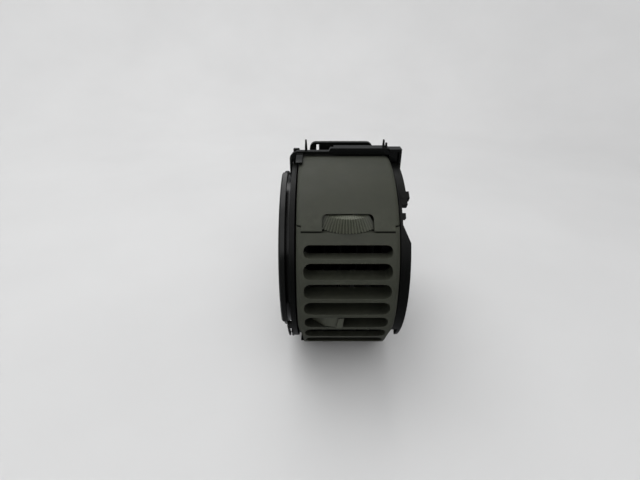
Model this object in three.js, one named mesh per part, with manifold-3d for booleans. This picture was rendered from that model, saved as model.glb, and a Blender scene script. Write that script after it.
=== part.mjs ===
// A barrel air vent for a vehicle dashboard. A drum with a louvred grille and a smooth cover turns
// about X inside a black housing. A tab in the grille steers upright vanes left and right, and a
// ribbed thumbwheel opens and shuts a damper through a link rod.
// Millimetres. X runs along the drum's axle, -Y is the front, +Z is up. Every outline below is
// written about the drum's axle, and the whole group then stands on z = 0.
import * as THREE from "three";
import { mergeVertices } from "three/addons/utils/BufferGeometryUtils.js";
import Module from "manifold-3d";

const wasm = await Module();
wasm.setup();

// ---------- driving dimensions ----------
const AXLE_HEIGHT = 64; // drum axle above the surface the vent stands on
const DRUM_R = 60;
const SKIN = 2.2; // wall of the drum's cover and grille
const DRUM_HALF_W = 26;
const EDGE_ROUND = 2.4; // rolled side edge of the drum's face
const PLAY = 0.3; // gap left between touching pieces

const GRILLE_TOP_Z = 35.6; // the line where the cover meets the grille
const SPLIT_GAP = 0.8;
const GRILLE_BOTTOM = -44; // degrees round the drum
const BAR_PITCH = 10.45;
const BAR_T = 2.3;
const TOP_BAR_Z = 23.6;
const BARS = 6;
const SLOT_HALF_W = 22.3;
const SLOT_CORNER = 3.4;
const FIN_BACK_Y = -49;

const COVER_END = 122; // degrees round the drum
const WINDOW_HALF_W = 13;
const WINDOW_TOP_Z = 43.1;

const WHEEL_Y = -30;
const WHEEL_Z = [35.9, 41.5];
const WHEEL_PROUD = 1.25; // how far the wheel's ribs stand out of the drum
const WHEEL_RIBS = 72; // on a full turn
const RIB_ROOT = 0.935; // radius between the ribs, as a share of the radius over them
const WHEEL_HOLLOW_R = 11.6;
const CRANK_R = 8;
const CRANK_REST = -42; // degrees from +X

const ROOF_Z = [31, 33];
const FLOOR_Z = [-37, -35];
const END_X = [23.4, 25.6]; // inner and outer faces of the drum's end discs
const HUB_R = 7;

const DAMPER_Y = 6;
const DAMPER_HALF_CHORD = 22.2;

const VANE_Y = -37;
const VANE_PITCH = 8.4;
const VANES = 5;
const VANE_REST = -22; // degrees the vanes are steered at rest
const TIE_R = 7.5; // tie bar pin behind each vane's pivot
const FORK_R = 8; // fork of the steering tab, ahead of the middle vane's pivot

const CHEEK_R = 56;
const CHEEK_X = [27, 28.4];
const HUB_FACE_X = 29.2;
const RIM_X = 31.5;
const COVER_X = [-29.8, -27];
const CHAMBER_X = [-26.7, 27.2];
const REAR_Y = 62;
const BASE_Z = -AXLE_HEIGHT;
const BASE_FRONT_Y = -8;
const NECK = { midX: 2, halfW: 23.7, low: -31, high: 41, wall: 1.8, corner: 7 };
const FLANGE_Y = [66, 68.6];
const FLANGE_TOP_Z = 52.2;
const GASKET_Y = [68.8, 71.8];

// ---------- colours ----------
const material = (color, roughness, metalness = 0) =>
  new THREE.MeshStandardMaterial({ color, roughness, metalness });
const FACE = material(0x4a4a42, 0.62);
const BLACK = material(0x101211, 0.45);
const SATIN_BLACK = material(0x17191a, 0.3);
const FOAM = material(0x2b332c, 0.95);
const FELT = material(0x1c1c1c, 1);
const ACETAL = material(0xcfcbb8, 0.4);
const STEEL = material(0xa8abad, 0.3, 1);
const ZINC = material(0x8f8f86, 0.4, 1);

// ---------- solids ----------
const rad = THREE.MathUtils.degToRad;
const ROUND = 24; // sides of a small cylinder

function solidOf(geometry) {
  const g = geometry.clone();
  g.deleteAttribute("normal");
  g.deleteAttribute("uv");
  const merged = mergeVertices(g, 1e-4);
  return new wasm.Manifold(
    new wasm.Mesh({
      numProp: 3,
      vertProperties: new Float32Array(merged.attributes.position.array),
      triVerts: new Uint32Array(merged.index.array),
    }),
  );
}

function geometryOf(solid) {
  const m = solid.getMesh();
  const positions = new Float32Array(m.numVert * 3);
  for (let i = 0; i < m.numVert; i++) {
    positions.set(m.vertProperties.subarray(i * m.numProp, i * m.numProp + 3), i * 3);
  }
  return new THREE.BufferGeometry()
    .setAttribute("position", new THREE.BufferAttribute(positions, 3))
    .setIndex(new THREE.BufferAttribute(new Uint32Array(m.triVerts), 1));
}

const join = (...solids) => solids.reduce((a, b) => a.add(b));
const cut = (solid, ...tools) => tools.reduce((a, b) => a.subtract(b), solid);

// An outline of [u, v] points, extruded along one axis between two planes.
const AXES = {
  // u is Y and v is Z
  x: (a) => new THREE.Matrix4().set(0, 0, 1, a, 1, 0, 0, 0, 0, 1, 0, 0, 0, 0, 0, 1),
  // u is X and v is Z; the extrusion runs towards -Y
  y: (a, b) => new THREE.Matrix4().set(1, 0, 0, 0, 0, 0, -1, b, 0, 1, 0, 0, 0, 0, 0, 1),
  // u is X and v is Y
  z: (a) => new THREE.Matrix4().makeTranslation(0, 0, a),
};

function prism(axis, points, from, to) {
  const shape = new THREE.Shape(points.map(([u, v]) => new THREE.Vector2(u, v)));
  const g = new THREE.ExtrudeGeometry(shape, { depth: to - from, bevelEnabled: false });
  return solidOf(g.applyMatrix4(AXES[axis](from, to)));
}

const rectangle = (u0, v0, u1, v1) => [
  [u0, v0],
  [u1, v0],
  [u1, v1],
  [u0, v1],
];

const box = (x0, y0, z0, x1, y1, z1) => prism("z", rectangle(x0, y0, x1, y1), z0, z1);

function arc(cu, cv, r, from, to, steps) {
  const points = [];
  for (let i = 0; i <= steps; i++) {
    const a = rad(from + ((to - from) * i) / steps);
    points.push([cu + r * Math.cos(a), cv + r * Math.sin(a)]);
  }
  return points;
}

const circle = (cu, cv, r, sides = ROUND) => arc(cu, cv, r, 0, 360, sides).slice(0, -1);

function roundRect(u0, v0, u1, v1, r, steps = 4) {
  return [
    ...arc(u1 - r, v0 + r, r, -90, 0, steps),
    ...arc(u1 - r, v1 - r, r, 0, 90, steps),
    ...arc(u0 + r, v1 - r, r, 90, 180, steps),
    ...arc(u0 + r, v0 + r, r, 180, 270, steps),
  ];
}

const rod = (axis, u, v, r, from, to, sides = ROUND) =>
  prism(axis, circle(u, v, r, sides), from, to);

const ring = (rIn, rOut, x0, x1, sides = 36) =>
  cut(rod("x", 0, 0, rOut, x0, x1, sides), rod("x", 0, 0, rIn, x0 - 1, x1 + 1, sides));

// A point in the YZ plane at an angle round the drum: 0 is the front, 90 is the top.
const round = (r, deg) => [-r * Math.cos(rad(deg)), r * Math.sin(rad(deg))];

function roundArc(r, from, to, step = 3) {
  const steps = Math.max(2, Math.round(Math.abs(to - from) / step));
  return Array.from({ length: steps + 1 }, (_, i) => round(r, from + ((to - from) * i) / steps));
}

// A wall that follows the drum between two radii.
const shell = (r0, r1, from, to, x0, x1, step) =>
  prism("x", [...roundArc(r1, from, to, step), ...roundArc(r0, to, from, step)], x0, x1);

// A profile of [x, r] points turned about the drum's axle.
function turned(profile, sides) {
  const points = [...profile, profile[0]].map(([x, r]) => new THREE.Vector2(r, x));
  if (THREE.ShapeUtils.area(points) < 0) points.reverse();
  const g = new THREE.LatheGeometry(points, sides);
  return solidOf(g.rotateZ(-Math.PI / 2));
}

const root = new THREE.Group();
root.position.z = AXLE_HEIGHT;

function add(name, solid, look) {
  const mesh = new THREE.Mesh(geometryOf(solid), look);
  mesh.name = name;
  root.add(mesh);
  return mesh;
}

// ---------- the drum's face ----------
// The skin with rolled side edges, as one turned ring that the cover and grille are cut from.
function faceRing() {
  const inner = DRUM_R - SKIN;
  const edge = [];
  for (const deg of [0, 30, 60, 90]) {
    edge.push([
      DRUM_HALF_W - EDGE_ROUND + EDGE_ROUND * Math.cos(rad(deg)),
      DRUM_R - EDGE_ROUND * 0.6 + EDGE_ROUND * 0.6 * Math.sin(rad(deg)),
    ]);
  }
  const mirrored = edge.map(([x, r]) => [-x, r]).reverse();
  return turned([[-DRUM_HALF_W, inner], [DRUM_HALF_W, inner], ...edge, ...mirrored], 144);
}

// A wedge of the drum's side view, for cutting the ring to length.
const wedge = (from, to) =>
  prism("x", [[0, 0], ...roundArc(DRUM_R + 8, from, to, 8)], -DRUM_HALF_W - 3, DRUM_HALF_W + 3);

const SIDE_TONGUE_Z = GRILLE_TOP_Z + 2.3; // the grille's side edges reach past the split line

function sideEdges(z0, z1) {
  const inside = DRUM_HALF_W - EDGE_ROUND;
  return join(
    box(inside, -DRUM_R - 2, z0, DRUM_HALF_W + 2, 0, z1),
    box(-DRUM_HALF_W - 2, -DRUM_R - 2, z0, -inside, 0, z1),
  );
}

function slotSpans() {
  const spans = [[TOP_BAR_Z + BAR_T / 2, ROOF_Z[0] - 0.3]];
  for (let i = 0; i < BARS; i++) {
    const top = TOP_BAR_Z - i * BAR_PITCH - BAR_T / 2;
    spans.push([top - (BAR_PITCH - BAR_T), top]);
  }
  return spans;
}

function grille() {
  const face = faceRing().intersect(wedge(GRILLE_BOTTOM, 60));
  const above = box(-40, -70, GRILLE_TOP_Z, 40, 10, 70);
  const tongues = face.intersect(sideEdges(GRILLE_TOP_Z - 1, SIDE_TONGUE_Z));
  // the bars run back as level fins to one upright plane
  const finHalfW = SLOT_HALF_W + 1;
  const disc = rod("x", 0, 0, DRUM_R - SKIN + 0.1, -finHalfW, finHalfW, 120);
  const depth = disc.intersect(box(-30, -70, -30.6, 30, FIN_BACK_Y, 30.6));
  let solid = join(cut(face, above), tongues, depth);
  for (const [low, high] of slotSpans()) {
    const r = Math.min(SLOT_CORNER, (high - low) / 2 - 0.2);
    const outline = roundRect(-SLOT_HALF_W, low, SLOT_HALF_W, high, r, 3);
    solid = solid.subtract(prism("y", outline, -70, -40));
  }
  // the face narrows towards its lower corners
  for (const side of [-1, 1]) {
    const corner = [
      [side * 30, -16],
      [side * DRUM_HALF_W, -16],
      [side * (DRUM_HALF_W - 1), -20.5],
      [side * (DRUM_HALF_W - 1.8), -24],
      [side * (DRUM_HALF_W - 2.4), -28],
      [side * (DRUM_HALF_W - 2.5), -43],
      [side * 30, -43],
    ];
    solid = solid.subtract(prism("y", corner, -70, -30));
  }
  return solid;
}

function cover() {
  const face = faceRing().intersect(wedge(20, COVER_END));
  const below = box(-40, -70, -10, 40, 30, GRILLE_TOP_Z + SPLIT_GAP);
  const tongueRoom = sideEdges(0, SIDE_TONGUE_Z + SPLIT_GAP);
  const windowHole = prism(
    "y",
    roundRect(-WINDOW_HALF_W, 20, WINDOW_HALF_W, WINDOW_TOP_Z, 2.2),
    -70,
    -20,
  );
  // ribs under the skin carry it on the end discs
  const ribs = [-1, 1].map((side) =>
    shell(54.6, DRUM_R - SKIN + 0.1, 50, 118, side * 21.6 - 0.9, side * 21.6 + 0.9, 6),
  );
  return join(cut(face, below, tongueRoom, windowHole), ...ribs);
}

add("drum_grille", grille(), FACE);
add("drum_cover", cover(), FACE);

// ---------- the drum's frame ----------
// The discs are full height where the skin sits on them, and smaller behind and below.
function endDisc(side) {
  const [near, far] = END_X;
  const outline = [...roundArc(57.4, -28, 119, 5), ...roundArc(53, 120, 331, 6)];
  const disc = prism("x", outline, side > 0 ? near : -far, side > 0 ? far : -near);
  const outward = (r, reach) =>
    side > 0 ? rod("x", 0, 0, r, far - 0.5, reach) : rod("x", 0, 0, r, -reach, 0.5 - far);
  let solid = join(disc, outward(HUB_R, 31), outward(11, 26.5));
  if (side < 0) {
    // the left hub ends in a flatted stub that drives the friction disc
    solid = solid.add(cut(outward(4.6, 33.4), box(-34, 3.2, -6, -31, 6, 6)));
  } else {
    // groove for the retaining clip
    solid = solid.subtract(ring(5.6, HUB_R + 1, 29.5, 30.4));
  }
  // the roof and floor plates are slotted into the disc
  const slots = [ROOF_Z, FLOOR_Z].map(([z0, z1]) =>
    box(side * near - 1, -25, z0 - PLAY, side * near + 1, 15, z1 + PLAY),
  );
  return cut(solid, ...slots);
}

const tabInSlot = (z0, z1) => join(box(22, -24.7, z0, 24, 14.7, z1), box(-24, -24.7, z0, -22, 14.7, z1));

const vaneXs = Array.from({ length: VANES }, (_, i) => (i - (VANES - 1) / 2) * VANE_PITCH);

function roof() {
  const [z0, z1] = ROOF_Z;
  const plate = box(-23.1, -47.1, z0, 23.1, 26, z1);
  const holes = [
    ...vaneXs.map((x) => rod("z", x, VANE_Y, 1.6, z0 - 1, z1 + 1, 12)),
    rod("z", 0, DAMPER_Y, 2.9, z0 - 1, z1 + 1),
    rod("z", 0, WHEEL_Y, 2.4, z0 - 1, z1 + 1),
  ];
  return cut(join(plate, tabInSlot(z0, z1)), ...holes);
}

function floor() {
  const [z0, z1] = FLOOR_Z;
  const plate = box(-23.1, -43.2, z0, 23.1, 26, z1);
  const holes = [
    ...vaneXs.map((x) => rod("z", x, VANE_Y, 1.6, z0 - 1, z1 + 1, 12)),
    rod("z", 0, DAMPER_Y, 2.9, z0 - 1, z1 + 1),
  ];
  return cut(join(plate, tabInSlot(z0, z1)), ...holes);
}

add("drum_end_left", endDisc(-1), BLACK);
add("drum_end_right", endDisc(1), BLACK);
add("drum_roof", roof(), BLACK);
add("drum_floor", floor(), BLACK);

// The apron closes the drum below the grille, whose lower edge laps over its set-back lip.
function apron() {
  const lip = shell(57, 58.2, GRILLE_BOTTOM - 1, -54, -22.4, 22.4, 3);
  return join(lip, shell(57, 59.8, -53, -88, -22.4, 22.4, 4));
}

add("drum_apron", apron(), BLACK);

// ---------- thumbwheel, axle and link ----------
const wheelRadius = (z) => Math.sqrt((DRUM_R + WHEEL_PROUD) ** 2 - z * z) + WHEEL_Y;

// The rim is a ribbed cone that follows the drum's curve and slopes in over its top edge. It is
// missing at the back, where the link rod leaves the wheel.
function thumbwheel() {
  const [z0, z1] = WHEEL_Z;
  const levels = [z0, z0 + 1.9, z0 + 3.8, z1].map((z) => [z, wheelRadius(z)]);
  levels.push([z1 + 1, wheelRadius(z1) - 3.2]);
  const outline = [];
  for (let i = 0; i < WHEEL_RIBS * 2; i++) {
    const a = (i * Math.PI) / WHEEL_RIBS;
    const r = i % 2 ? 1 : RIB_ROOT;
    outline.push([r * Math.cos(a), r * Math.sin(a)]);
  }
  const shape = new THREE.Shape(outline.map(([u, v]) => new THREE.Vector2(u, v)));
  const steps = levels.length - 1;
  const g = new THREE.ExtrudeGeometry(shape, { depth: steps, steps, bevelEnabled: false });
  const p = g.attributes.position;
  for (let i = 0; i < p.count; i++) {
    const [z, r] = levels[Math.round(p.getZ(i))];
    p.setXYZ(i, p.getX(i) * r, p.getY(i) * r + WHEEL_Y, z);
  }
  const inside = rod("z", 0, WHEEL_Y, WHEEL_HOLLOW_R, z0 + 2, z1 + 2, 48);
  // front of the wheel is at -90 degrees; the rim runs from 138 degrees before it to 50 after
  const gap = [[0, WHEEL_Y], ...arc(0, WHEEL_Y, 40, -40, 138, 8)];
  const rim = cut(solidOf(g), inside, prism("z", gap, z0 + 2, z1 + 2));
  const hub = rod("z", 0, WHEEL_Y, 4.2, z0 + 1, 40.2);
  const [px, py] = crankPin(WHEEL_Y);
  const pin = rod("z", px, py, 1.5, z0 + 1, 41.2, 16);
  return cut(join(rim, hub, pin), rod("z", 0, WHEEL_Y, 2.4, z0 - 1, z1 + 1));
}

const crankPin = (shaftY) => [
  CRANK_R * Math.cos(rad(CRANK_REST)),
  shaftY + CRANK_R * Math.sin(rad(CRANK_REST)),
];

function wheelAxle() {
  const [roofLow] = ROOF_Z;
  return join(rod("z", 0, WHEEL_Y, 2, roofLow + 0.1, 41), rod("z", 0, WHEEL_Y, 3.6, 40.5, 41.6));
}

function linkRod() {
  const [ax, ay] = crankPin(WHEEL_Y);
  const [, by] = crankPin(DAMPER_Y);
  const z0 = 38.5;
  const z1 = 40.1;
  const bar = join(
    box(ax - 1.2, ay, z0, ax + 1.2, by, z1),
    rod("z", ax, ay, 3, z0, z1),
    rod("z", ax, by, 3, z0, z1),
  );
  return cut(bar, rod("z", ax, ay, 1.85, z0 - 1, z1 + 1, 16), rod("z", ax, by, 1.85, z0 - 1, z1 + 1, 16));
}

add("thumbwheel", thumbwheel(), FACE);
add("thumbwheel_axle", wheelAxle(), STEEL);
add("thumbwheel_washer", cut(rod("z", 0, WHEEL_Y, 6, 33.3, 35.6), rod("z", 0, WHEEL_Y, 2.4, 33, 36)), FELT);
add("damper_link", linkRod(), ACETAL);

// ---------- damper ----------
const DAMPER_Z = [-34.2, 30.2];
const SHAFT_FLAT = 1.6;

const flatSide = (x, z0, z1) => box(x, DAMPER_Y - 4, z0, x + 4, DAMPER_Y + 4, z1);

function damperFlap() {
  const [z0, z1] = DAMPER_Z;
  const plate = box(-1, DAMPER_Y - DAMPER_HALF_CHORD, z0, 1, DAMPER_Y + DAMPER_HALF_CHORD, z1);
  const foot = rod("z", 0, DAMPER_Y, 2.4, z0 - 2.6, z0 + 0.3);
  const shaft = rod("z", 0, DAMPER_Y, 2.4, z1 - 0.3, 38);
  return cut(join(plate, foot, shaft), flatSide(SHAFT_FLAT, 35.4, 39));
}

// The crank is pressed on the flatted top of the damper's shaft, above the roof plate.
function damperCrank() {
  const [z0, z1] = [35.7, 37.9];
  const [px, py] = crankPin(DAMPER_Y);
  const half = new THREE.Vector2(px, py - DAMPER_Y).setLength(2.2);
  const arm = prism(
    "z",
    [
      [-half.y, DAMPER_Y + half.x],
      [half.y, DAMPER_Y - half.x],
      [px + half.y, py - half.x],
      [px - half.y, py + half.x],
    ],
    z0,
    z1,
  );
  const body = join(
    arm,
    rod("z", 0, DAMPER_Y, 4.4, z0, z1),
    rod("z", px, py, 2.6, z0, z1),
    rod("z", px, py, 1.5, z0, 41.2, 16),
  );
  const bore = cut(rod("z", 0, DAMPER_Y, 2.7, 34, 39), flatSide(SHAFT_FLAT + PLAY, 33, 40));
  return cut(body, bore);
}

function damperSeal() {
  const [z0, z1] = DAMPER_Z;
  const half = DAMPER_HALF_CHORD + 0.5;
  const sheet = box(1.2, DAMPER_Y - half, z0 - 0.2, 2.6, DAMPER_Y + half, z1 + 0.2);
  const shaftRoom = [
    box(0, DAMPER_Y - 3, z0 - 1, 4, DAMPER_Y + 3, z0 + 0.7),
    box(0, DAMPER_Y - 3, z1 - 0.7, 4, DAMPER_Y + 3, z1 + 1),
  ];
  return cut(sheet, ...shaftRoom);
}

add("damper_flap", damperFlap(), BLACK);
add("damper_crank", damperCrank(), ACETAL);
add("damper_seal", damperSeal(), FOAM);

// ---------- vanes, tie bar and steering tab ----------
// A vane is drawn straight about its own pivot, then turned to its rest angle.
function vane() {
  const front = -9;
  const back = 11;
  const outline = [
    [-0.35, front],
    [0.35, front],
    [0.9, -1],
    [0.9, 1],
    [0.35, back],
    [-0.35, back],
    [-0.9, 1],
    [-0.9, -1],
  ];
  const blade = prism("z", outline, -34.6, 30.6);
  const notch = box(-3, TIE_R - 3.1, -3, 3, back + 1, 3);
  const tiePin = rod("z", 0, TIE_R, 0.9, -3.2, 3.2, 12);
  const ends = [rod("z", 0, 0, 1.25, -36.8, -34, 12), rod("z", 0, 0, 1.25, 30, 32.8, 12)];
  return join(cut(blade, notch), tiePin, ...ends);
}

vaneXs.forEach((x, i) => {
  const mesh = add(`vane_${i + 1}`, vane(), BLACK);
  mesh.position.set(x, VANE_Y, 0);
  mesh.rotation.z = rad(VANE_REST);
});

const turnAt = (r) => [-r * Math.sin(rad(VANE_REST)), r * Math.cos(rad(VANE_REST))];

function tieBar() {
  const [dx, dy] = turnAt(TIE_R);
  const y = VANE_Y + dy;
  const reach = vaneXs[VANES - 1] + 2.3;
  const bar = prism("z", roundRect(dx - reach, y - 2.2, dx + reach, y + 2.2, 2, 3), -1, 1);
  return cut(bar, ...vaneXs.map((x) => rod("z", x + dx, y, 1.3, -2, 2, 12)));
}

add("tie_bar", tieBar(), BLACK);

// The tab rides on the fifth bar and is hooked under its back edge. Its fork straddles the middle vane.
function steeringTab() {
  const barZ = TOP_BAR_Z - 4 * BAR_PITCH;
  const over = barZ + BAR_T / 2 + 0.3;
  const under = barZ - BAR_T / 2 - 0.3;
  const top = over + 6.7;
  const middle = -turnAt(-FORK_R)[0];
  const x = -middle;
  // a leaning rib at the front for the fingertip
  const rib = prism(
    "y",
    [
      [x - 2.4, over],
      [x + 0.6, over],
      [x + 1.9, top],
      [x - 1.1, top],
    ],
    -58.8,
    -57.4,
  );
  const grip = prism(
    "z",
    [
      [x + 1.5, -57.8],
      [x + 1.5, -47.6],
      [x - 15.6, -47.6],
      [x - 15.6, -50.8],
      [x - 8.4, -56.8],
      [x - 2, -57.8],
    ],
    over,
    top,
  );
  const stem = box(x - 3.3, -48.7, under - 1.6, x + 3.3, -46.8, over + 4);
  const hook = box(x - 3.3, -52, under - 1.6, x + 3.3, -48.2, under);
  const prongs = [-1, 1].map((side) =>
    box(x + side * 2.5 - 0.8, -47, over + 0.6, x + side * 2.5 + 0.8, -42.6, over + 4),
  );
  return join(rib, grip, stem, hook, ...prongs);
}

add("steering_tab", steeringTab(), FACE);

// ---------- housing ----------
// Side view of a cheek: round in front, stepped up over the chamber, square behind and below.
function cheekOutline() {
  return [
    [BASE_FRONT_Y, BASE_Z],
    ...roundArc(CHEEK_R, -76, 93, 4.5),
    [7.2, 56],
    ...roundArc(63.4, 96.6, 128, 5),
    [REAR_Y, 43],
    [REAR_Y, BASE_Z],
  ];
}

function rearTube(y0, y1, inset) {
  const [x0, x1] = [NECK.midX - NECK.halfW + inset, NECK.midX + NECK.halfW - inset];
  return prism("y", roundRect(x0, NECK.low + inset, x1, NECK.high - inset, NECK.corner - inset), y0, y1);
}

function chamberWalls() {
  const [x0, x1] = CHAMBER_X;
  const topArc = shell(60.9, 62.2, 97, 128, x0, x1, 4);
  const [ty, tz] = round(62.2, 128);
  const slope = prism(
    "x",
    [
      [ty - 1.4, tz - 1.6],
      [REAR_Y - 1, 39.2],
      [REAR_Y - 1, 41.2],
      [ty, tz],
    ],
    x0,
    x1,
  );
  const rear = box(x0, REAR_Y - 2, BASE_Z + 1, x1, REAR_Y, 41.2);
  const base = box(x0, BASE_FRONT_Y, BASE_Z, x1, REAR_Y, BASE_Z + 2.4);
  const bottomArc = shell(61.6, 63.2, -66, -92, x0, x1, 4);
  return join(topArc, slope, rear, base, bottomArc);
}

// Screw bosses stand in the chamber's corners, clear of the drum.
const COVER_SCREWS = [
  [57, BASE_Z + 5.2],
  [50, 42],
  [27, BASE_Z + 5.2],
];

function rightCheek() {
  const [x0, x1] = CHEEK_X;
  const plate = prism("x", cheekOutline(), x0, x1);
  const rimBand = prism("x", cheekOutline(), x1 - 0.5, RIM_X);
  const inner = prism(
    "x",
    [
      [BASE_FRONT_Y + 4, BASE_Z + 2.2],
      ...roundArc(CHEEK_R - 2.2, -74, 93, 4.5),
      [9.4, 54],
      ...roundArc(61.2, 98.8, 127, 5),
      [REAR_Y - 2.2, 40.6],
      [REAR_Y - 2.2, BASE_Z + 2.2],
    ],
    x1,
    RIM_X + 1,
  );
  // a thicker crescent along the front of the rim, which tapers away upwards to a gap
  const crescent = shell(CHEEK_R - 3.6, CHEEK_R, -50, 38, x1 - 0.5, RIM_X + 0.7, 4);
  const gap = prism("y", [[34, 26], [x1, 37.2], [x1, 45.2], [34, 45.2]], -60, -26);
  const hubRing = rod("x", 0, 0, 13, x0, HUB_FACE_X, 36);
  const ribs = Array.from({ length: 8 }, (_, i) => spoke(22.5 + 45 * i, CHEEK_R - 1.5, x1 - 0.2, 30.4));
  const cheek = join(cut(join(cut(rimBand, inner), crescent), gap), plate, hubRing, ...ribs);
  // the cheek is cut back at the drum's lower front corner, and its rim ends in a point there
  const inside = lowerFrontCut(22, CHEEK_X[0] - 1, 30.4);
  const rimEnd = lowerFrontCut(6.3, 30.3, RIM_X + 2);
  return cut(cheek, inside, rimEnd);
}

// A straight cut across the lower front of a cheek, from the base up to a given reach.
function lowerFrontCut(reach, x0, x1) {
  const deg = -46.5;
  const outline = rectangle(CHEEK_R - 3.2, -22, CHEEK_R + 1, reach).map(([out, along]) => {
    const [y, z] = round(out, deg);
    const [alongY, alongZ] = round(along, deg + 90);
    return [y + alongY, z + alongZ];
  });
  return prism("x", outline, x0, x1);
}

// A thin rib out from the hub towards the rim.
function spoke(deg, reach, x0, x1) {
  const [near, far] = [round(12, deg), round(reach, deg)];
  const [sy, sz] = round(0.5, deg + 90);
  return prism(
    "x",
    [
      [near[0] - sy, near[1] - sz],
      [far[0] - sy, far[1] - sz],
      [far[0] + sy, far[1] + sz],
      [near[0] + sy, near[1] + sz],
    ],
    x0,
    x1,
  );
}

// Snap hooks at the gap in the rim take the edge of a dash bracket.
function clipHooks() {
  const [, x1] = CHEEK_X;
  return join(
    shell(CHEEK_R - 3.4, CHEEK_R + 0.2, 53, 58, x1 - 0.4, RIM_X, 2.5),
    shell(CHEEK_R - 3, CHEEK_R + 0.3, 57, 61.5, x1 - 0.4, RIM_X + 1.4, 2.2),
    shell(CHEEK_R - 3, CHEEK_R, 45.2, 48.2, x1 - 0.4, RIM_X - 1.4, 1.5),
  );
}

function flange() {
  const [y0, y1] = FLANGE_Y;
  const plate = prism("y", roundRect(-26.5, -38, 30.5, 41, 5), y0, y1);
  return join(plate, prism("y", flangeTop(), y0, y1));
}

const flangeTop = () =>
  roundRect(NECK.midX - NECK.halfW, 30, NECK.midX + NECK.halfW, FLANGE_TOP_Z, 4.5);

// Light shows through this cut and slit in the raised top of the rear flange.
const flangeWindows = () =>
  join(box(-30, 60, 43.4, -6.4, 80, 46.4), box(-16.7, 60, 46, -14.8, 80, 50.8));

const FLANGE_HOLES = [
  [28, -34.5],
  [-24, -34.5],
  [28, 37],
  [-24, 37],
];

// The front bridge snaps into both cheeks.
const BRIDGE_Y = [2.6, 5.8];
const BRIDGE_NIB = [4.4, 51];

function housingBody() {
  const [x0] = CHAMBER_X;
  const bosses = COVER_SCREWS.map(([y, z]) => rod("x", y, z, 3.1, x0, x0 + 14));
  const neck = rearTube(REAR_Y - 1, FLANGE_Y[1] - 0.5, 0);
  const solid = join(chamberWalls(), rightCheek(), clipHooks(), ...bosses, neck, flange());
  return cut(
    solid,
    rearTube(50, 75, NECK.wall),
    flangeWindows(),
    rod("x", 0, 0, 9.4, 20, 40),
    ...COVER_SCREWS.map(([y, z]) => rod("x", y, z, 1.75, x0 - 1, x0 + 11, 16)),
    ...FLANGE_HOLES.map(([x, z]) => rod("y", x, z, 1.9, 60, 75, 16)),
    rod("x", ...BRIDGE_NIB, 1.8, 25, 33, 16),
  );
}

function gasket() {
  const [y0, y1] = GASKET_Y;
  const band = cut(rearTube(y0, y1, -0.2), rearTube(y0 - 1, y1 + 1, NECK.wall + 1.4));
  const top = prism("y", flangeTop(), y0, y1);
  return cut(join(band, cut(top, box(-30, 60, 20, 30, 80, 38.2))), flangeWindows());
}

const HUB_COVER_R = 47;
const hubScrews = [30, 150, 270].map((deg) => round(40.5, deg));

function sideCover() {
  const [x0, x1] = COVER_X;
  const plate = prism("x", cheekOutline(), x0, x1);
  // two thin prongs at the lower front
  const prongs = join(
    shell(CHEEK_R - 2, CHEEK_R + 0.4, -42, -20, x0 - 2.5, x0 - 1.7, 4),
    shell(CHEEK_R - 2, CHEEK_R, -26, -20, x0 - 2.5, x0 + 0.2, 3),
    shell(CHEEK_R - 2, CHEEK_R + 0.6, -42, -30, x0 - 0.7, x0 + 0.2, 4),
  );
  const rearRib = box(x0 - 1.8, REAR_Y - 1.7, BASE_Z, x0 + 0.2, REAR_Y, 42);
  return cut(
    join(plate, prongs, rearRib),
    rod("x", 0, 0, 9.4, x0 - 2, x1 + 2),
    ...COVER_SCREWS.map(([y, z]) => rod("x", y, z, 1.75, x0 - 1, x1 + 1, 16)),
    ...hubScrews.map(([y, z]) => rod("x", y, z, 1.75, x0 - 1, x1 + 1, 12)),
    rod("x", ...BRIDGE_NIB, 1.8, x0 - 1, x1 + 1, 16),
  );
}

// A dished disc over the friction pack: plate outside, neck against the side cover, and a rim
// that stands off it.
function hubCover() {
  const outside = -35.4;
  const plateIn = -33.8;
  const neckEnd = COVER_X[0] - 0.2;
  const panel = outside + 0.7; // a sunk ring in the plate, crossed by ribs
  const profile = [
    [outside, 0],
    [outside, 12],
    [panel, 12.6],
    [panel, 35],
    [outside, 35.6],
    [outside, CHEEK_R - 2.2],
    [outside + 0.8, CHEEK_R - 1],
    [-32.2, CHEEK_R - 1],
    [-32.2, CHEEK_R - 3.2],
    [plateIn, CHEEK_R - 3.6],
    [plateIn, HUB_COVER_R],
    [neckEnd, HUB_COVER_R],
    [neckEnd, HUB_COVER_R - 2.4],
    [plateIn, HUB_COVER_R - 2.4],
    [plateIn, 0],
  ];
  // the wide flange runs round the front only
  const rear = shell(HUB_COVER_R + 2.4, CHEEK_R + 6, 80, 341, -37, -30.2, 6);
  const dish = cut(turned(profile, 90), rear);
  const bosses = hubScrews.map(([y, z]) => rod("x", y, z, 3.4, plateIn - 1, neckEnd, 16));
  const holes = hubScrews.map(([y, z]) => rod("x", y, z, 1.75, -37, -29, 12));
  const sinks = hubScrews.map(([y, z]) => rod("x", y, z, 3.3, -37, -34.2, 16));
  const ribs = Array.from({ length: 6 }, (_, i) => spoke(60 * i, 35.4, outside + 0.1, panel + 0.3));
  return cut(join(dish, ...bosses, ...ribs), ...holes, ...sinks);
}

add("housing_body", housingBody(), BLACK);
add("side_cover", sideCover(), BLACK);
add("hub_cover", hubCover(), SATIN_BLACK);
add("duct_gasket", gasket(), FOAM);

// ---------- front bridge with its locating pegs ----------

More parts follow.
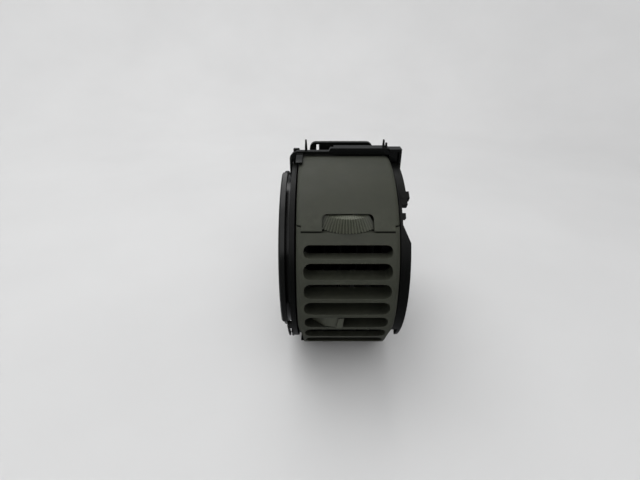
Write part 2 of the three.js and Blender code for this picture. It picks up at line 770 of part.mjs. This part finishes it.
function frontBridge() {
  const [y0, y1] = BRIDGE_Y;
  const low = 60.7;
  const bar = prism(
    "y",
    [
      [33.2, low],
      [33.2, 64.6],
      [-8, 64.6],
      [-8.8, 62.8],
      [-27.4, 62.8],
      [-29.6, 62],
      [-31.7, 59.4],
      [-31.7, 48],
      [-30.1, 48],
      [-30.1, low - 1.4],
      [-28.8, low],
    ],
    y0,
    y1,
  );
  const legs = [
    box(31.8, y0 - 2.4, 47, 33.2, y1 + 1, 64.6),
    box(26, y0 - 2.4, 63, 33.2, y1 + 1, 64.6),
    box(-31.7, y0 - 1.4, 48, -30.1, y1 + 1, 59),
  ];
  // fillers between the bar and the tops of the cheeks
  const fillers = [
    box(26.6, y0, 56.4, 33.2, y1, 61),
    box(-30.4, y0, 56.4, -26.6, y1, 61),
    shell(60.5, 61.7, 79, 94, -27.5, -23.8, 3),
  ];
  const nibs = [rod("x", ...BRIDGE_NIB, 1.5, -31, -28, 16), rod("x", ...BRIDGE_NIB, 1.5, 27.6, 32, 16)];
  const rearRail = box(-6, y1 - 0.5, 63.2, 26, y1 + 3.6, 64.6);
  const pegs = [
    prism("y", [[-22.9, 62.4], [-21.3, 62.4], [-21.7, 69], [-22.6, 69]], y0 + 0.4, y1 - 0.2),
    prism("y", [[23.6, 64.2], [25, 64.2], [24.8, 67.6], [23.9, 67.6]], y0 + 0.2, y1 - 1.6),
    prism("y", [[22.4, 64.2], [23.6, 64.2], [23.4, 69], [22.6, 69]], y1 - 1.8, y1),
  ];
  return join(bar, rearRail, ...legs, ...fillers, ...nibs, ...pegs);
}

add("front_bridge", frontBridge(), BLACK);

// ---------- felt seals ----------
add("felt_seal_top", shell(60.2, 60.75, 99, 113, -25.6, 25.6, 3.5), FELT);
add("felt_seal_bottom", shell(60.1, 61.3, -68, -80, -22.4, 22.4, 3.5), FELT);

// ---------- bearings and the friction pack ----------
// A plain bush between the cheek's bore and the drum's hub.
function bush(side) {
  const [inner, outer] = side > 0 ? [26.8, HUB_FACE_X + 0.2] : [-26.8, COVER_X[0] + 0.1];
  const span = [Math.min(inner, outer), Math.max(inner, outer)];
  return cut(rod("x", 0, 0, 9.1, ...span, 36), rod("x", 0, 0, HUB_R + 0.3, -40, 40, 36));
}

add("bush_left", bush(-1), ACETAL);
add("bush_right", bush(1), ACETAL);

add("friction_felt", ring(9.8, 22, -31.1, -30.1), FELT);

function frictionDisc() {
  const bore = cut(rod("x", 0, 0, 4.9, -40, -20), box(-40, 3.5, -6, -20, 6, 6));
  return cut(rod("x", 0, 0, 21, -32.2, -31.4, 36), bore);
}

add("friction_disc", frictionDisc(), STEEL);

// A flat spring ring bent into three waves.
function waveSpring() {
  const toPath = (Kind, r) => new Kind(circle(0, 0, r, 48).map(([u, v]) => new THREE.Vector2(u, v)));
  const shape = toPath(THREE.Shape, 18);
  shape.holes.push(toPath(THREE.Path, 13));
  const g = new THREE.ExtrudeGeometry(shape, { depth: 0.4, bevelEnabled: false });
  const p = g.attributes.position;
  for (let i = 0; i < p.count; i++) {
    const [u, v] = [p.getX(i), p.getY(i)];
    p.setXYZ(i, p.getZ(i) - 33.1 + 0.25 * Math.cos(3 * Math.atan2(v, u)), u, v);
  }
  return solidOf(g);
}

add("wave_spring", waveSpring(), STEEL);

function retainingClip() {
  const open = prism("x", [[0, 0], ...arc(0, 0, 14, -125, -55, 2)], 20, 40);
  return cut(ring(5.9, 9, 29.65, 30.25, 32), open);
}

add("retaining_clip", retainingClip(), ZINC);

// ---------- screws ----------
// A pan-head screw along X with a cross recess; dir is the way its head faces.
function screw(y, z, headX, dir, length = 9) {
  const span = (a, b) => [Math.min(a, b), Math.max(a, b)];
  const shank = rod("x", y, z, 1.35, ...span(headX, headX - dir * length), 12);
  const head = rod("x", y, z, 2.9, ...span(headX, headX + dir * 1.5), 20);
  const topX = headX + dir * 1.6;
  const deep = headX + dir * 0.7;
  const [x0, x1] = span(topX, deep);
  const recess = join(
    box(x0, y - 1.7, z - 0.4, x1, y + 1.7, z + 0.4),
    box(x0, y - 0.4, z - 1.7, x1, y + 0.4, z + 1.7),
  );
  return cut(join(shank, head), recess);
}

COVER_SCREWS.forEach(([y, z], i) =>
  add(`cover_screw_${i + 1}`, screw(y, z, COVER_X[0] - 0.1, -1, 12), ZINC),
);
hubScrews.forEach(([y, z], i) => add(`hub_screw_${i + 1}`, screw(y, z, -34.5, -1, 6.6), ZINC));

export default root;
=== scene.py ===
"""The looks of the barrel air vent: materials, soft foam and felt, studio light and camera."""

import math

import bpy
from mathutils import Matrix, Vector


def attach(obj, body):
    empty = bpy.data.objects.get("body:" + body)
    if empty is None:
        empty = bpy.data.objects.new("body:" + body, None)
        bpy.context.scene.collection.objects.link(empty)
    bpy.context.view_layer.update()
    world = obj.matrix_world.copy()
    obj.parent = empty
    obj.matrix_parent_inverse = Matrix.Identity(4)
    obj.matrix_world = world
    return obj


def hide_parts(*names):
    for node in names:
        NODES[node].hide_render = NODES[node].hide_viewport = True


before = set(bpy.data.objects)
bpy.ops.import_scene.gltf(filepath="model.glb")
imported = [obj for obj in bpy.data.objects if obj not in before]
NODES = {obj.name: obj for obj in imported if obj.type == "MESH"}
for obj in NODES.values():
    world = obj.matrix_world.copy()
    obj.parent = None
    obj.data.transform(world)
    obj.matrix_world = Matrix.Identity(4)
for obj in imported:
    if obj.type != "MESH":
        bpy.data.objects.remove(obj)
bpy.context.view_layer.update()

MM = 0.001
AXLE = Vector((0, 0, 64 * MM))  # the middle of the drum's axle

# The CAD nodes of each finish.
FACE_NODES = ["drum_grille", "drum_cover"]
BLACK_NODES = [
    "drum_end_left",
    "drum_end_right",
    "drum_roof",
    "drum_floor",
    "drum_apron",
    "damper_flap",
    *(f"vane_{i}" for i in range(1, 6)),
    "tie_bar",
    "housing_body",
    "side_cover",
]
SATIN_NODES = ["hub_cover", "front_bridge"]
ACETAL_NODES = ["damper_link", "damper_crank", "bush_left", "bush_right"]
STEEL_NODES = ["thumbwheel_axle", "friction_disc", "wave_spring"]
ZINC_NODES = [
    "retaining_clip",
    *(f"{kind}_screw_{i}" for kind in ("cover", "hub") for i in (1, 2, 3)),
]

# The soft CAD nodes, and the bodies that they ride on.
FOAM_NODES = {"duct_gasket": "housing", "damper_seal": "damper"}
FELT_NODES = {
    "felt_seal_top": "housing",
    "felt_seal_bottom": "housing",
    "friction_felt": "housing",
    "thumbwheel_washer": "drum",
}

WELD_REACH = 0.002 * MM  # corners of facets this near each other are made one
SHARP_ANGLE = 32  # degrees; an edge that turns more than this stays sharp
SKIN_WAVE = 4 * MM  # the size of the shallow waves in foam and felt

# Worn edges, and grime with painted shade in gaps: the share of colour each takes and how bright it is
# there.
EDGE_WEAR, EDGE_BRIGHTNESS = 0.25, 2.1
GRIME_AND_SHADE, GRIME_AND_SHADE_BRIGHTNESS = 0.85, 0.2

CREVICE_SAMPLES = 8
BEVEL_SAMPLES = 6
MIX_A, MIX_B, MIX_RESULT = 6, 7, 2  # a Mix node's colour sockets, which share their names with others


# ---------- colours ----------
def linear(r, g, b):
    """A 0-255 sRGB colour as the linear RGBA that a shader takes."""

    def channel(c):
        c /= 255
        return c / 12.92 if c <= 0.04045 else ((c + 0.055) / 1.055) ** 2.4

    return (channel(r), channel(g), channel(b), 1)


def scaled(colour, k):
    """The colour made k times as bright."""
    return tuple(min(1, c * k) for c in colour[:3]) + (1,)


FACE = linear(50, 52, 43)
BLACK = linear(4, 5, 4)
DUST = linear(150, 145, 132)
SCRATCH = linear(120, 120, 114)


# ---------- shader building blocks ----------
class Shader:
    """A material with one Principled shader, and short names for the nodes that feed it."""

    def __init__(self, name):
        self.material = bpy.data.materials.new(name)
        self.material.use_nodes = True
        self.tree = self.material.node_tree
        self.surface = self.tree.nodes["Principled BSDF"]
        self.place = self.tree.nodes.new("ShaderNodeTexCoord").outputs["Object"]

    def link(self, source, target):
        self.tree.links.new(source, target)

    def stretch(self, x, y, z):
        """The object's coordinates stretched along each axis, for grain that has a direction."""
        node = self.tree.nodes.new("ShaderNodeMapping")
        node.inputs["Scale"].default_value = (x, y, z)
        self.link(self.place, node.inputs["Vector"])
        return node.outputs["Vector"]

    def noise(self, size, detail=3, rough=0.55, vector=None):
        """Cloudy noise, 0 to 1, whose blobs are about size metres across."""
        node = self.tree.nodes.new("ShaderNodeTexNoise")
        node.inputs["Scale"].default_value = 1 / size
        node.inputs["Detail"].default_value = detail
        node.inputs["Roughness"].default_value = rough
        self.link(vector or self.place, node.inputs["Vector"])
        return node.outputs["Fac"]

    def cells(self, size):
        """The distance to the nearest cell's centre, for pits and pebbles about size metres across."""
        node = self.tree.nodes.new("ShaderNodeTexVoronoi")
        node.inputs["Scale"].default_value = 1 / size
        self.link(self.place, node.inputs["Vector"])
        return node.outputs["Distance"]

    def fit(self, value, low, high, to_low, to_high):
        """value taken from low..high to to_low..to_high, and held inside it."""
        node = self.tree.nodes.new("ShaderNodeMapRange")
        self.link(value, node.inputs["Value"])
        for name, number in zip(
            ("From Min", "From Max", "To Min", "To Max"), (low, high, to_low, to_high)
        ):
            node.inputs[name].default_value = number
        return node.outputs["Result"]

    def spread(self, noise, low=0, high=1):
        """Noise, nearly all of which lies between 0.3 and 0.7, spread over low..high."""
        return self.fit(noise, 0.3, 0.7, low, high)

    def math(self, operation, a, b):
        """A Math node on a and b, each of them a number or another node's output."""
        node = self.tree.nodes.new("ShaderNodeMath")
        node.operation = operation
        for socket, value in zip(node.inputs, (a, b)):
            if isinstance(value, (int, float)):
                socket.default_value = value
            else:
                self.link(value, socket)
        return node.outputs["Value"]

    def mix(self, amount, a, b):
        """Colour a turning into colour b as amount goes from 0 to 1."""
        node = self.tree.nodes.new("ShaderNodeMix")
        node.data_type = "RGBA"
        self.link(amount, node.inputs["Factor"])
        for socket, value in zip((node.inputs[MIX_A], node.inputs[MIX_B]), (a, b)):
            if isinstance(value, tuple):
                socket.default_value = value
            else:
                self.link(value, socket)
        return node.outputs[MIX_RESULT]

    def edges(self):
        """1 on sharp outer edges and 0 elsewhere."""
        node = self.tree.nodes.new("ShaderNodeNewGeometry")
        return self.fit(node.outputs["Pointiness"], 0.52, 0.6, 0, 1)

    def crevice(self, reach):
        """How shaded a point is by what stands round it: 1 deep in corners and in gaps narrower than
        about reach metres, and 0 in the open.
        """
        node = self.tree.nodes.new("ShaderNodeAmbientOcclusion")
        node.samples = CREVICE_SAMPLES
        node.inputs["Distance"].default_value = reach
        return self.fit(node.outputs["AO"], 0.3, 0.85, 1, 0)

    def upward(self):
        """1 where the surface faces up, for dust."""
        geometry = self.tree.nodes.new("ShaderNodeNewGeometry")
        split = self.tree.nodes.new("ShaderNodeSeparateXYZ")
        self.link(geometry.outputs["Normal"], split.inputs["Vector"])
        return self.fit(split.outputs["Z"], 0.2, 1, 0, 1)

    def rounded(self, radius):
        """A normal with the edges eased over radius metres."""
        node = self.tree.nodes.new("ShaderNodeBevel")
        node.samples = BEVEL_SAMPLES
        node.inputs["Radius"].default_value = radius
        return node.outputs["Normal"]

    def bump(self, height, depth, normal=None):
        """A normal with height, 0 to 1, standing depth metres proud."""
        node = self.tree.nodes.new("ShaderNodeBump")
        node.inputs["Strength"].default_value = 1
        node.inputs["Distance"].default_value = depth
        self.link(height, node.inputs["Height"])
        if normal is not None:
            self.link(normal, node.inputs["Normal"])
        return node.outputs["Normal"]

    def put(self, **sockets):
        """Sets sockets of the Principled shader; _ stands for a space in their names."""
        for name, value in sockets.items():
            socket = self.surface.inputs[name.replace("_", " ")]
            if isinstance(value, (int, float, tuple)):
                socket.default_value = value
            else:
                self.link(value, socket)
        return self.material


# ---------- wear on moulded plastic ----------
def worn_edges(s, base, colour):
    """Edges rubbed paler, in patches."""
    rub = s.math("MULTIPLY", s.edges(), s.fit(s.noise(3 * MM), 0.35, 0.65, 0.3, 1))
    return s.mix(s.math("MULTIPLY", rub, EDGE_WEAR), base, scaled(colour, EDGE_BRIGHTNESS))


def grime_and_painted_shade(s, base, colour, reach):
    """Painted shade, with some grime, in the corners, and gaps painted darker inwards."""
    # the ambient-occlusion mask paints shade, with some grime, into the colour
    grime_and_shade = s.math("MULTIPLY", s.crevice(reach), GRIME_AND_SHADE)
    return s.mix(grime_and_shade, base, scaled(colour, GRIME_AND_SHADE_BRIGHTNESS))


def dusty(s, base, amount):
    """A thin, patchy film of dust on what faces up."""
    patches = s.fit(s.noise(7 * MM, detail=6), 0.35, 0.75, 0, amount)
    return s.mix(s.math("MULTIPLY", s.upward(), patches), base, DUST)


def scuffed(s, base, amount):
    """Short pale streaks, gathered in some places."""
    streaks = s.noise(1.2 * MM, detail=6, rough=0.7, vector=s.stretch(1, 0.07, 0.9))
    places = s.fit(s.noise(12 * MM), 0.5, 0.65, 0, 1)
    rubbed = s.math("MULTIPLY", s.fit(streaks, 0.66, 0.78, 0, amount), places)
    return s.mix(rubbed, base, SCRATCH)


# ---------- materials ----------
def moulded_plastic(
    name, colour, rough, grain, depth, dust, ease=0.3, specular=0.5, scuff=0, gap=1.5
):
    """Moulded plastic: a fine pebble grain, cloudy colour, worn edges, grime and painted shade in gaps
    and corners, and a little dust.

    In mm, grain is the width of the pebbles and depth their height, ease the rounding of the edges
    and gap the width of the widest gaps that hold painted shade and grime. dust and scuff are the
    largest shares of the colour that dust and scratches hide.
    """
    s = Shader(name)
    cloud = s.noise(18 * MM, detail=5)
    speck = s.noise(0.5 * MM, detail=2)
    base = s.mix(s.spread(cloud), scaled(colour, 0.9), scaled(colour, 1.08))
    base = s.mix(s.fit(speck, 0.62, 0.75, 0, 0.35), base, scaled(colour, 1.35))
    base = worn_edges(s, base, colour)
    # painted shade from ambient occlusion, with some grime, darkens the corners and gaps
    base = grime_and_painted_shade(s, base, colour, gap * MM)
    base = dusty(s, base, dust)
    if scuff:
        base = scuffed(s, base, scuff)
    pebble = s.math("ADD", s.cells(grain * MM), s.math("MULTIPLY", s.noise(grain * MM * 0.7), 0.6))
    normal = s.bump(pebble, depth * MM, s.rounded(ease * MM))
    dull = s.spread(cloud, rough - 0.05, rough + 0.06)
    dull = s.math("ADD", dull, s.fit(speck, 0.4, 0.7, 0, 0.05))
    return s.put(Base_Color=base, Roughness=dull, Normal=normal, Specular_IOR_Level=specular)


def acetal():
    """Natural white acetal, waxy and smooth, with faint flow marks."""
    s = Shader("acetal")
    flow = s.noise(5 * MM, detail=4, vector=s.stretch(1, 0.25, 1))
    base = s.mix(s.spread(flow), linear(203, 199, 184), linear(222, 219, 206))
    normal = s.bump(s.noise(0.4 * MM), 0.01 * MM, s.rounded(0.2 * MM))
    rough = s.spread(flow, 0.36, 0.46)
    s.put(Subsurface_Weight=0.15, Subsurface_Scale=1 * MM)
    return s.put(Base_Color=base, Roughness=rough, Normal=normal)


def brushed_steel():
    """Rolled steel strip with fine scratches along one way and a few dull spots."""
    s = Shader("steel")
    scratch = s.noise(0.25 * MM, detail=4, vector=s.stretch(1, 0.06, 1))
    spots = s.fit(s.noise(4 * MM, detail=5), 0.55, 0.75, 0, 0.6)
    base = s.mix(spots, linear(196, 198, 200), linear(150, 146, 138))
    rough = s.math("ADD", s.spread(scratch, 0.2, 0.36), s.math("MULTIPLY", spots, 0.25))
    normal = s.bump(scratch, 0.01 * MM, s.rounded(0.1 * MM))
    return s.put(Base_Color=base, Metallic=1.0, Roughness=rough, Normal=normal)


def zinc_plate():
    """Zinc plating: a faintly yellow, cloudy grey with a fine crystal speckle."""
    s = Shader("zinc_plated_steel")
    cloud = s.noise(1.5 * MM, detail=5)
    base = s.mix(s.fit(cloud, 0.35, 0.65, 0, 1), linear(168, 166, 152), linear(196, 195, 188))
    rough = s.fit(s.cells(0.35 * MM), 0, 0.6, 0.28, 0.46)
    normal = s.bump(cloud, 0.015 * MM, s.rounded(0.15 * MM))
    return s.put(Base_Color=base, Metallic=1.0, Roughness=rough, Normal=normal)


def foam():
    """Closed-cell foam: dark green-grey, with open cut cells whose hollows hold painted shade, and a
    dusty bloom.
    """
    s = Shader("foam")
    pits = s.cells(0.75 * MM)
    cloud = s.noise(6 * MM, detail=5)
    base = s.mix(s.spread(cloud), linear(24, 30, 25), linear(42, 48, 41))
    # painted shade: the hollows of the cut cells are darkened
    base = s.mix(s.fit(pits, 0, 0.45, 0.6, 0), base, linear(9, 11, 9))
    pitted = s.math("ADD", pits, s.math("MULTIPLY", s.noise(0.3 * MM), 0.5))
    s.put(Sheen_Weight=0.1, Sheen_Roughness=0.6)
    return s.put(Base_Color=base, Roughness=0.93, Normal=s.bump(pitted, 0.22 * MM))


def felt():
    """Needle felt: matted black fibres with paler lint."""
    s = Shader("felt")
    fibres = s.noise(0.35 * MM, detail=6, rough=0.7, vector=s.stretch(0.25, 1, 1))
    cross = s.noise(0.4 * MM, detail=6, rough=0.7, vector=s.stretch(1, 0.3, 0.3))
    mat = s.math("MAXIMUM", fibres, cross)
    base = s.mix(s.fit(mat, 0.5, 0.75, 0, 1), linear(24, 24, 24), linear(66, 65, 62))
    s.put(Sheen_Weight=0.4, Sheen_Roughness=0.5)
    return s.put(Base_Color=base, Roughness=0.97, Normal=s.bump(mat, 0.15 * MM))


def table_top():
    """A pale, matt, nearly even sheet."""
    s = Shader("table")
    cloud = s.noise(0.2, detail=3)
    base = s.mix(s.spread(cloud), linear(205, 205, 205), linear(210, 210, 210))
    normal = s.bump(s.noise(1.5 * MM), 0.02 * MM)
    return s.put(Base_Color=base, Roughness=0.85, Normal=normal, Specular_IOR_Level=0.2)


# ---------- finishing the CAD nodes ----------
def finish_node(name, material):
    """Gives a CAD node its material and smooth shading that breaks at real edges."""
    node = NODES[name]
    node.data.materials.clear()
    node.data.materials.append(material)
    node.data.polygons.foreach_set("use_smooth", [True] * len(node.data.polygons))
    if "custom_normal" in node.data.attributes:
        node.data.attributes.remove(node.data.attributes["custom_normal"])
    weld = node.modifiers.new("join facets", "WELD")
    weld.merge_threshold = WELD_REACH
    split = node.modifiers.new("keep edges sharp", "EDGE_SPLIT")
    split.split_angle = math.radians(SHARP_ANGLE)


def finish_nodes(names, material):
    """Gives the same finish to several CAD nodes."""
    for name in names:
        finish_node(name, material)


def soften(piece, name, voxel, sway):
    """Modifiers for a skin of even facets voxel mm wide, rounded, with waves sway mm deep."""
    remesh = piece.modifiers.new("even skin", "REMESH")
    remesh.mode = "VOXEL"
    remesh.voxel_size = voxel * MM
    smooth = piece.modifiers.new("round edges", "SMOOTH")
    smooth.factor = 0.5
    smooth.iterations = 3
    waves = bpy.data.textures.new(f"waves_{name}", "CLOUDS")
    waves.noise_scale = SKIN_WAVE
    uneven = piece.modifiers.new("uneven", "DISPLACE")
    uneven.texture = waves
    uneven.texture_coords = "GLOBAL"
    uneven.strength = sway * MM
    uneven.mid_level = 1.0  # only ever inwards, so the skin stays in the CAD body's place


def soft_piece(name, body, material, voxel, sway):
    """A soft piece in place of a CAD node: the same body with rounded edges and an uneven skin."""
    piece = bpy.data.objects.new(f"soft_{name}", NODES[name].data.copy())
    bpy.context.scene.collection.objects.link(piece)
    soften(piece, name, voxel, sway)
    depsgraph = bpy.context.evaluated_depsgraph_get()
    made = bpy.data.meshes.new_from_object(piece.evaluated_get(depsgraph))
    piece.modifiers.clear()
    piece.data = made
    made.materials.clear()
    made.materials.append(material)
    made.polygons.foreach_set("use_smooth", [True] * len(made.polygons))
    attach(piece, body)
    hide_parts(name)


# ---------- studio ----------
def backdrop_profile():
    """The radius and height, in metres, of the backdrop's rings, from the table up the wall."""
    near, far, bend, high, steps = 0.3, 1.1, 0.5, 2.0, 12
    profile = [(near, 0.0), (far - bend, 0.0)]
    for i in range(1, steps + 1):
        a = math.radians(90 * i / steps)
        profile.append((far - bend + bend * math.sin(a), bend - bend * math.cos(a)))
    profile.append((far, high))
    return profile


def backdrop_mesh(profile, sides):
    """The profile turned about Z, closed with a disc in the middle."""
    verts = [(0, 0, 0)]
    for r, z in profile:
        for j in range(sides):
            a = math.tau * j / sides
            verts.append((r * math.cos(a), r * math.sin(a), z))
    faces = [(0, 1 + j, 1 + (j + 1) % sides) for j in range(sides)]
    for i in range(len(profile) - 1):
        low = 1 + i * sides
        up = low + sides
        for j in range(sides):
            k = (j + 1) % sides
            faces.append((low + j, up + j, up + k, low + k))
    mesh = bpy.data.meshes.new("backdrop")
    mesh.from_pydata(verts, [], faces)
    mesh.polygons.foreach_set("use_smooth", [True] * len(faces))
    return mesh


def backdrop(material):
    """A round pale table that curves up into a wall on every side."""
    mesh = backdrop_mesh(backdrop_profile(), sides=72)
    mesh.materials.append(material)
    sheet = bpy.data.objects.new("backdrop", mesh)
    bpy.context.scene.collection.objects.link(sheet)
    sheet.visible_glossy = False  # dark plastic mirrors the lights and the dim sky, not the pale wall


def soft_light(name, place, target, size, watts):
    """A rectangular light, size metres, that stands at place and shines at target."""
    data = bpy.data.lights.new(name, "AREA")
    data.shape = "RECTANGLE"
    data.size, data.size_y = size
    data.energy = watts
    lamp = bpy.data.objects.new(name, data)
    lamp.location = place
    lamp.rotation_euler = (Vector(target) - Vector(place)).to_track_quat("-Z", "Y").to_euler()
    bpy.context.scene.collection.objects.link(lamp)


def studio():
    """A dim, faintly blue sky, a wide light above the front and a stronger one behind."""
    world = bpy.data.worlds.new("studio")
    bpy.context.scene.world = world
    world.use_nodes = True
    sky = world.node_tree.nodes["Background"]
    sky.inputs["Color"].default_value = (0.95, 0.97, 1, 1)
    sky.inputs["Strength"].default_value = 0.26
    soft_light("key", place=(-0.05, -0.6, 0.9), target=AXLE, size=(1.3, 1.3), watts=7.2)
    soft_light("back", place=(-0.25, 0.6, 1.2), target=(-0.05, 0.5, 0), size=(1.4, 0.9), watts=11)
    bpy.context.scene.view_settings.view_transform = "Standard"


def camera():
    """The camera stands 240 mm from the axle, 30 degrees above it and a little to the left."""
    look_down = 28.9  # degrees
    data = bpy.data.cameras.new("camera")
    data.sensor_width = 36
    data.lens = 20.475
    data.clip_start = 10 * MM
    eye = bpy.data.objects.new("camera", data)
    eye.location = AXLE + Vector((-14, -207.8, 120)) * MM
    eye.rotation_euler = (math.radians(90 - look_down), 0, 0)
    bpy.context.scene.collection.objects.link(eye)
    bpy.context.scene.camera = eye


# ---------- the scene ----------
camera()
studio()
backdrop(table_top())

# gap=12 reaches deep into the grille's slots, so painted shade darkens them inwards
face = moulded_plastic(
    "face_plastic", FACE, rough=0.6, grain=0.45, depth=0.02, dust=0.02, ease=0.4,
    specular=0.3, scuff=0.05, gap=12,
)
wheel = moulded_plastic(
    "wheel_plastic", scaled(FACE, 2.2), rough=0.5, grain=0.4, depth=0.015, dust=0.08, ease=0.1,
)
tab = moulded_plastic(
    "tab_plastic", scaled(FACE, 1.3), rough=0.5, grain=0.4, depth=0.015, dust=0.08, ease=0.2,
)
black = moulded_plastic(
    "black_plastic", BLACK, rough=0.4, grain=0.6, depth=0.03, dust=0.012,
    specular=0.12, scuff=0.08,
)
satin = moulded_plastic(
    "satin_black_plastic", BLACK, rough=0.2, grain=1.2, depth=0.008, dust=0.008,
    specular=0.24, scuff=0.06,
)

finish_nodes(FACE_NODES, face)
finish_nodes(["thumbwheel"], wheel)
finish_nodes(["steering_tab"], tab)
finish_nodes(BLACK_NODES, black)
finish_nodes(SATIN_NODES, satin)
finish_nodes(ACETAL_NODES, acetal())
finish_nodes(STEEL_NODES, brushed_steel())
finish_nodes(ZINC_NODES, zinc_plate())

foam_skin = foam()
for name, body in FOAM_NODES.items():
    soft_piece(name, body, foam_skin, voxel=0.45, sway=0.25)
felt_skin = felt()
for name, body in FELT_NODES.items():
    soft_piece(name, body, felt_skin, voxel=0.25, sway=0.1)
